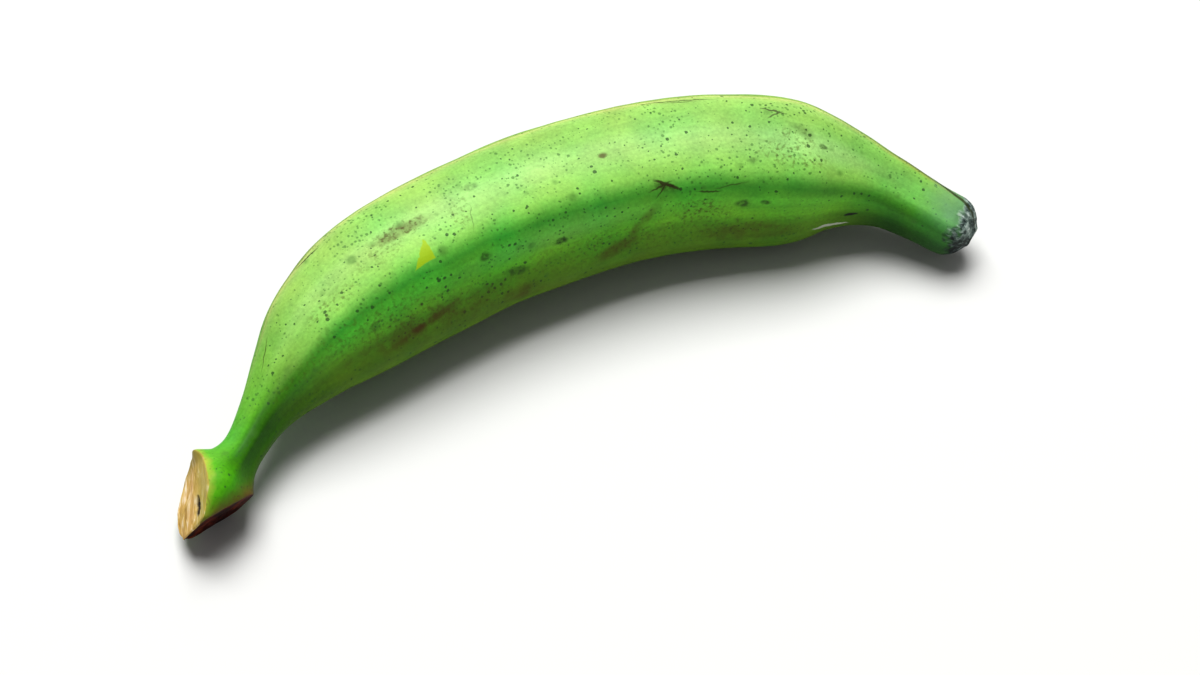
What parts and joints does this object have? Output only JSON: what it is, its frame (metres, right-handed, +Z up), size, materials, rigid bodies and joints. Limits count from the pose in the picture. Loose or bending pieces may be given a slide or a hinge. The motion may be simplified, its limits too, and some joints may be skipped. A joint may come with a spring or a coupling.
{
  "type": "plantain",
  "caption": "Whole green plantain lying on its side: curved, bluntly ridged fruit with a narrow neck, a flared stem foot cut to a wedge and a blunt dark tip.",
  "frame": {"origin": "on the surface the fruit lies on, under the middle of its bounding box", "axes": "+X from the cut stem foot to the blossom tip, +Y towards the outer side of the bend, +Z up"},
  "size_m": [0.2466, 0.0844, 0.0463],
  "materials": {
    "peel": "smooth waxy green peel, satin, with tan cut stem foot and blackened blossom tip"
  },
  "bodies": {
    "root": {"plantain": "peel"}
  },
  "joints": []
}
